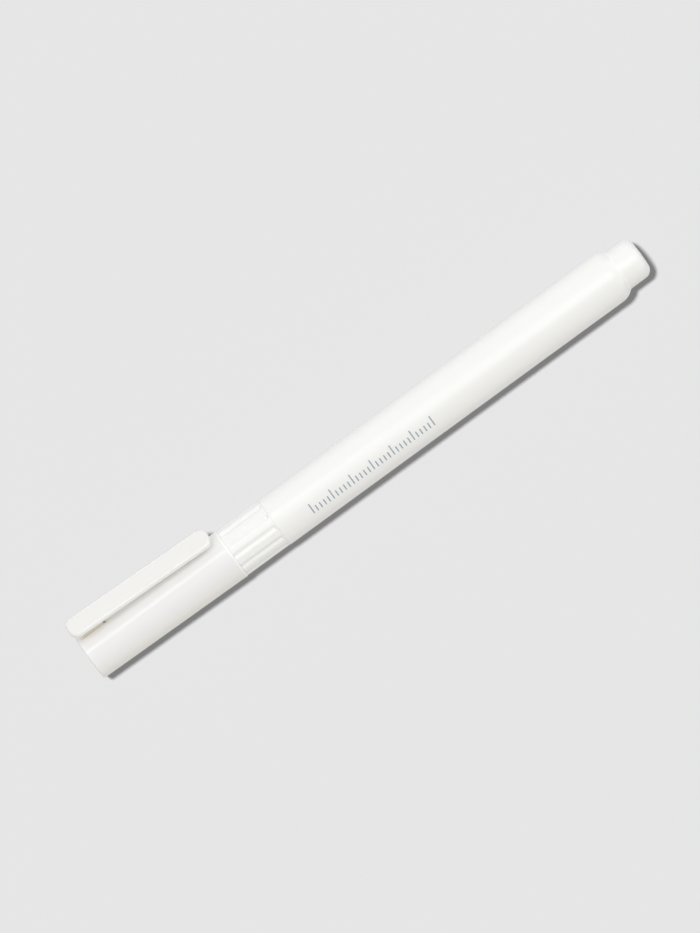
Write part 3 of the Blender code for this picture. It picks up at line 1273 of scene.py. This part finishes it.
@dataclass
class BarrelScale(Piece):
    """Plain printed scale of ticks on the side of the barrel."""

    name = "barrel_scale"
    slot = "barrel_white"
    finish = Finish("grey_blue_print", (0.25, 0.30, 0.35), (0.36, 0.41, 0.46), 0.525, Grain.PRINTED)

    barrel: Barrel = field(default_factory=Barrel)
    start: float = 54.0
    count: int = 31
    pitch: float = 1.0
    long_every: int = 5
    short: float = 1.4
    long: float = 2.4
    line_width: float = 0.26
    thickness: float = 0.03
    angle: float = math.radians(36.0)

    def build(self) -> bpy.types.Object:
        """Build the ticks and wrap them on the barrel.

        Returns:
            The scale.
        """
        made = link(self.name, bpy.data.meshes.new(self.name))
        radius = self.barrel.radius_at(self.start)
        end = self.start + self.pitch * self.count
        ScaleTree().apply(
            made,
            {
                "Count": self.count,
                "Long Every": float(self.long_every),
                "Pitch": self.pitch * MM,
                "Start": self.start * MM,
                "Line Width": self.line_width * MM,
                "Thickness": self.thickness * MM,
                "Short": self.short * MM,
                "Long": self.long * MM,
                "Angle": self.angle,
                "Radius": radius * MM,
                "Taper": (self.barrel.radius_at(end) - radius) / (end - self.start),
            },
        )
        return made


@dataclass
class TailPlug(TurnedPiece):
    """Plug in the barrel's rear: a hollow spigot and a round boss."""

    name = "tail_stopper"
    nodes = ("tail_plug",)
    slot = "tail_white"
    finish = MouldedPlastic("tail_plastic", BARREL_WHITE, BARREL_FLOW_WHITE, 0.28, Grain.POLISHED)

    radius: float = 4.5
    root_radius: float = 4.7
    root_length: float = 0.54
    corner: float = 1.9
    crown: float = 0.25
    seat_lap: float = 0.01
    spigot_radius: float = 3.95
    hollow_radius: float = 2.95
    hollow_rear: float = 135.5
    edge_rounding: float = 0.04
    spigot_rounding: float = 0.4

    def corners(self) -> list[Corner]:
        """Outline of the plug, whose boss rises to the barrel's rim in a small hollow curve.

        Returns:
            Its (x, radius, rounding) corners.
        """
        front, rear = self.reach()
        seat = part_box("barrel")[1].x / MM - self.seat_lap
        length, drop = -self.root_length, self.radius - self.root_radius
        root = bend_off(seat - length, self.radius, length, drop, ROUND_STEPS)
        return [
            (front, self.hollow_radius, self.edge_rounding),
            (front, self.spigot_radius, self.spigot_rounding),
            (seat, self.spigot_radius, 0.0),
            *reversed(root),
            (rear - self.crown, self.radius, self.corner),
            (rear, 0.0, 0.0),
            (self.hollow_rear, 0.0, 0.0),
            (self.hollow_rear, self.hollow_radius, self.spigot_rounding),
        ]


@dataclass
class FrontSection(TurnedPiece):
    """Nib holder: nose, cone, cap seat with a snap ring, and a hollow spigot in the barrel."""

    name = "nib_section"
    nodes = ("front_section",)
    slot = "section_white"
    finish = MouldedPlastic(
        "section_plastic", (0.85, 0.85, 0.838), (0.83, 0.832, 0.82), 0.34, Grain.SATIN
    )

    nose_radius: float = 1.9
    nose_rounding: float = 0.35
    cone_front: float = 13.0
    cone_front_radius: float = 2.2
    cone_rear: float = 24.0
    cone_rear_radius: float = 4.2
    seat_radius: float = 4.45
    seat_start: float = 24.4
    seat_rear: float = 35.35
    snap_x: float = 31.0
    snap_half_width: float = 0.6
    snap_height: float = 0.08
    spigot_radius: float = 3.95
    chamber_radius: float = 2.9
    chamber_front: float = 26.0
    funnel: float = 1.5
    sleeve_bore_radius: float = 1.35
    edge_rounding: float = 0.12
    cone_rounding: float = 1.5
    seat_rounding: float = 0.1
    snap_rounding: float = 1.0
    snap_foot_rounding: float = 0.4
    spigot_rounding: float = 0.36

    def corners(self) -> list[Corner]:
        """Outline of the section.

        Returns:
            Its (x, radius, rounding) corners.
        """
        nose, rear = self.reach()
        return [
            (nose, self.sleeve_bore_radius, self.edge_rounding),
            (nose, self.nose_radius, self.nose_rounding),
            (self.cone_front, self.cone_front_radius, self.cone_rounding),
            (self.cone_rear, self.cone_rear_radius, self.seat_rounding),
            (self.seat_start, self.seat_radius, self.seat_rounding),
            (self.snap_x - self.snap_half_width, self.seat_radius, self.snap_foot_rounding),
            (self.snap_x, self.seat_radius + self.snap_height, self.snap_rounding),
            (self.snap_x + self.snap_half_width, self.seat_radius, self.snap_foot_rounding),
            (self.seat_rear, self.seat_radius, self.edge_rounding),
            (self.seat_rear, self.spigot_radius, 0.0),
            (rear, self.spigot_radius, self.spigot_rounding),
            (rear, self.chamber_radius, self.edge_rounding),
            (self.chamber_front, self.chamber_radius, self.edge_rounding),
            (self.chamber_front - self.funnel, self.sleeve_bore_radius, self.edge_rounding),
        ]


@dataclass
class NibSleeve(TurnedPiece):
    """Thin steel sleeve, drawn in at its front, that holds the nib."""

    name = "nib_collar"
    nodes = ("nib_sleeve",)
    slot = "sleeve_steel"
    finish = DrawnSteel("drawn_steel", (0.66, 0.66, 0.65), (0.54, 0.54, 0.54), 0.29, Grain.DRAWN)
    facets = SLIM_CIRCLE

    radius: float = 1.25
    tip_radius: float = 0.62
    tip_bore_radius: float = 0.4
    bore_radius: float = 0.7
    taper_rear: float = 9.9
    neck_front: float = 9.7
    neck_rear: float = 10.7
    edge_rounding: float = 0.06
    taper_rounding: float = 0.6
    neck_rounding: float = 0.2

    def corners(self) -> list[Corner]:
        """Outline of the sleeve.

        Returns:
            Its (x, radius, rounding) corners.
        """
        front, rear = self.reach()
        return [
            (front, self.tip_bore_radius, self.edge_rounding),
            (front, self.tip_radius, self.edge_rounding),
            (self.taper_rear, self.radius, self.taper_rounding),
            (rear, self.radius, self.edge_rounding),
            (rear, self.bore_radius, self.edge_rounding),
            (self.neck_rear, self.bore_radius, self.neck_rounding),
            (self.neck_front, self.tip_bore_radius, self.neck_rounding),
        ]


@dataclass
class Nib(TurnedPiece):
    """Fine point with a round tip, on a rod that reaches into the ink."""

    name = "nib_point"
    nodes = ("nib",)
    slot = "nib_dark"
    finish = InkFibre("inked_nib", (0.022, 0.022, 0.026), (0.05, 0.05, 0.056), 0.5, Grain.FINE_STRANDS)
    facets = SLIM_CIRCLE

    tip_radius: float = 0.28
    tip_rounding: float = 0.2
    rod_radius: float = 0.6
    neck_front: float = 10.0
    neck_rear: float = 11.0
    neck_rounding: float = 0.3
    tail_rounding: float = 0.3

    def corners(self) -> list[Corner]:
        """Outline of the nib.

        Returns:
            Its (x, radius, rounding) corners.
        """
        tip, tail = self.reach()
        return [
            (tip, 0.0, 0.0),
            (tip, self.tip_radius, self.tip_rounding),
            (self.neck_front, self.tip_radius, self.neck_rounding),
            (self.neck_rear, self.rod_radius, self.neck_rounding),
            (tail, self.rod_radius, self.tail_rounding),
            (tail, 0.0, 0.0),
        ]


@dataclass
class InkCore(TurnedPiece):
    """Fluted fibre rod that holds the ink, with a socket for the nib's tail."""

    name = "ink_core"
    nodes = ("ink_reservoir",)
    slot = "fibre_ink"
    finish = InkFibre("soaked_fibre", (0.03, 0.03, 0.045), (0.11, 0.11, 0.14), 0.85, Grain.STRANDS)

    radius: float = 3.55
    socket_radius: float = 0.7
    socket_depth: float = 6.2
    edge_rounding: float = 0.15
    flute_count: int = 24
    flute_half_width: float = 0.4
    flute_depth: float = 0.12
    flute_run_out: float = 1.0
    flute_overrun: float = 2.0

    def corners(self) -> list[Corner]:
        """Outline of the rod.

        Returns:
            Its (x, radius, rounding) corners.
        """
        front, rear = self.reach()
        return [
            (front, self.socket_radius, self.edge_rounding),
            (front, self.radius, self.edge_rounding),
            (rear, self.radius, self.edge_rounding),
            (rear, 0.0, 0.0),
            (front + self.socket_depth, 0.0, 0.0),
            (front + self.socket_depth, self.socket_radius, self.edge_rounding),
        ]

    def build(self) -> bpy.types.Object:
        """Build the rod and flute it from end to end.

        Returns:
            The rod.
        """
        made = super().build()
        end = self.reach()[1] + self.flute_overrun
        GrooveTree().apply(
            made,
            {
                "Count": float(self.flute_count),
                "First Angle": 0.0,
                "Half Width": self.flute_half_width * MM,
                "Depth": self.flute_depth * MM,
                "Run Out": self.flute_run_out * MM,
                "End": end * MM,
                "Inner Radius": (self.radius - 2.0 * self.edge_rounding) * MM,
            },
        )
        return made


@dataclass
class CoreWrap(TurnedPiece):
    """Plastic film round the fibre rod."""

    name = "ink_core_wrap"
    nodes = ("reservoir_film",)
    slot = "film_clear"
    finish = ClearFilm("clear_film", (0.8, 0.83, 0.85), (0.9, 0.92, 0.93), 0.18, Grain.CREASED)

    inner_radius: float = 3.65
    outer_radius: float = 3.9
    edge_rounding: float = 0.05

    def corners(self) -> list[Corner]:
        """Outline of the film.

        Returns:
            Its (x, radius, rounding) corners.
        """
        front, rear = self.reach()
        return [
            (front, self.inner_radius, self.edge_rounding),
            (front, self.outer_radius, self.edge_rounding),
            (rear, self.outer_radius, self.edge_rounding),
            (rear, self.inner_radius, self.edge_rounding),
        ]


@dataclass(frozen=True)
class SoftBox:
    """A long lamp over the pen, as the pen sees it: the angles off vertical that it spans, towards +Y.

    A lamp that leans hangs at one end of the pen, towards its tail if the lean is above 0.
    """

    name: str
    gives: Gives
    near: float
    far: float
    radiance: float
    tint: Colour = (1.0, 1.0, 1.0)
    lean: float = 0.0
    start: float = -0.9
    end: float = 1.03
    distance: float = 0.8

    def place(self, pen_only: bpy.types.Collection) -> None:
        """Hang the lamp over the pen.

        Args:
            pen_only: What it lights.
        """
        middle = math.radians(self.near + self.far) / 2.0
        half = math.radians(self.far - self.near) / 2.0
        lamp = bpy.data.lights.new(self.name, "AREA")
        lamp.shape = "RECTANGLE"
        lamp.size = self.end - self.start
        lamp.size_y = 2.0 * self.distance * math.tan(half)
        lamp.energy = self.radiance * math.pi * lamp.size * lamp.size_y
        lamp.color = self.tint
        made = link(self.name, lamp)
        turn = Matrix.Rotation(math.radians(self.lean), 4, "Y") @ Matrix.Rotation(-middle, 4, "X")
        hang = Matrix.Translation(((self.start + self.end) / 2.0, 0.0, self.distance))
        made.matrix_world = turn @ hang
        made.visible_camera = False
        made.visible_diffuse = self.gives is Gives.LIGHT
        made.visible_glossy = self.gives is Gives.IMAGE
        made.light_linking.receiver_collection = pen_only


@dataclass
class Studio:
    """Pale floor, soft light and a camera that looks straight down on the pen."""

    view_turn: float = math.radians(-36.22)
    view_centre: float = 0.06526
    view_side: float = 0.0001
    view_height: float = 2.0
    lens: float = 382.5
    sensor: float = 36.0
    floor_half: float = 3.0
    floor_level: float = -5.67
    backdrop: float = 0.791
    shade: float = 0.19
    floor_albedo: float = 0.06
    ambient: float = 0.345
    shadow_across: float = 0.207
    shadow_along: float = 0.15
    shadow_softness: float = math.radians(7.0)
    boxes: tuple[SoftBox, ...] = (
        SoftBox("main_box", Gives.LIGHT, near=-15.0, far=29.0, radiance=1.93, lean=8.0),
        SoftBox("rim_box", Gives.LIGHT, near=64.0, far=86.0, radiance=1.05),
        SoftBox("low_box", Gives.LIGHT, near=-86.0, far=-62.0, radiance=0.5, tint=(1.0, 0.9, 0.76)),
        SoftBox("end_box", Gives.IMAGE, near=-40.0, far=40.0, radiance=1.1, lean=78.0, start=-0.2, end=0.2),
        SoftBox("line_box", Gives.IMAGE, near=21.0, far=33.0, radiance=3.3, end=0.055),
        SoftBox("tail_box", Gives.IMAGE, near=-10.0, far=20.0, radiance=1.4, start=0.1),
    )

    def camera(self) -> None:
        """Put the camera over the pen."""
        lens = bpy.data.cameras.new("view")
        lens.lens = self.lens
        lens.sensor_width = self.sensor
        made = link("view", lens)
        made.location = (self.view_centre, self.view_side, self.view_height)
        made.rotation_euler = (0.0, 0.0, self.view_turn)
        bpy.context.scene.camera = made

    def paint(self) -> bpy.types.Material:
        """Make the floor's paint: an even glow that is its tone in shade, and what the shadow lamp adds.

        Returns:
            The paint.
        """
        material = bpy.data.materials.new("floor_paint")
        material.use_nodes = True
        graph = Graph(material.node_tree)
        glow = graph.wire("ShaderNodeEmission", inputs={"Color": grey(self.shade)})
        matt = graph.wire("ShaderNodeBsdfDiffuse", inputs={"Color": grey(self.floor_albedo)})
        both = graph.wire("ShaderNodeAddShader", inputs={0: glow, 1: matt})
        graph.node("ShaderNodeOutputMaterial", inputs={"Surface": both})
        return material

    def floor(self) -> bpy.types.Object:
        """Lay the floor under the pen.

        Returns:
            The floor.
        """
        half, level = self.floor_half, self.floor_level * MM
        mesh = bpy.data.meshes.new("floor")
        mesh.from_pydata(
            [(-half, -half, level), (half, -half, level), (half, half, level), (-half, half, level)],
            [],
            [(0, 1, 2, 3)],
        )
        mesh.materials.append(self.paint())
        made = link("floor", mesh)
        return made

    def world(self) -> None:
        """Light the pen evenly from the world, which shows the backdrop's tone to the camera."""
        world = bpy.data.worlds.new("studio")
        world.use_nodes = True
        graph = Graph(world.node_tree)
        rays = graph.node("ShaderNodeLightPath").outputs
        seen = sum(
            (Wire(graph, rays[kind]) for kind in ("Is Glossy Ray", "Is Transmission Ray")),
            Wire(graph, rays["Is Camera Ray"]),
        )
        strength = self.ambient + graph.maths("MINIMUM", seen, 1.0) * (self.backdrop - self.ambient)
        light = graph.wire("ShaderNodeBackground", inputs={"Color": grey(1.0), "Strength": strength})
        graph.node("ShaderNodeOutputWorld", inputs={"Surface": light})
        bpy.context.scene.world = world

    def shadow_lamp(self, floor: bpy.types.Object) -> None:
        """Light the floor alone, so that it keeps the pen's shadow while soft light falls on the pen.

        Args:
            floor: What the lamp lights.
        """
        ray = Vector((self.shadow_along, -self.shadow_across, -1.0))
        steepness = 1.0 / ray.length
        ambient_tone = self.shade + self.floor_albedo * self.ambient
        lamp = bpy.data.lights.new("shadow_lamp", "SUN")
        lamp.angle = self.shadow_softness
        lamp.energy = (self.backdrop - ambient_tone) * math.pi / (self.floor_albedo * steepness)
        made = link("shadow_lamp", lamp)
        made.rotation_euler = ray.to_track_quat("-Z", "Y").to_euler()
        only_floor = bpy.data.collections.new("floor_receives")
        only_floor.objects.link(floor)
        made.light_linking.receiver_collection = only_floor

    def set_up(self) -> None:
        """Set up the whole studio."""
        bpy.context.scene.view_settings.view_transform = "Standard"
        self.camera()
        self.world()
        floor = self.floor()
        self.shadow_lamp(floor)
        pen_only = bpy.data.collections.new("pen_receives")
        pen_only.objects.link(floor)
        pen_only.collection_objects[0].light_linking.link_state = "EXCLUDE"
        for box in self.boxes:
            box.place(pen_only)


def main() -> None:
    """Load the frame, build the pen's pieces in order, log their face counts and light them."""
    logging.basicConfig(level=logging.INFO, format="%(message)s")
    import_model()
    clip, barrel = Clip(), Barrel()
    pieces = (
        CapShell(clip=clip),
        InnerCap(),
        clip,
        barrel,
        BarrelScale(barrel=barrel),
        TailPlug(),
        FrontSection(),
        NibSleeve(),
        Nib(),
        InkCore(),
        CoreWrap(),
    )
    for piece in pieces:
        made = piece.make()
        LOG.info("%s: %d faces, for %s", made.name, len(made.data.polygons), ", ".join(piece.nodes))
    Studio().set_up()


if __name__ == "__main__":
    main()
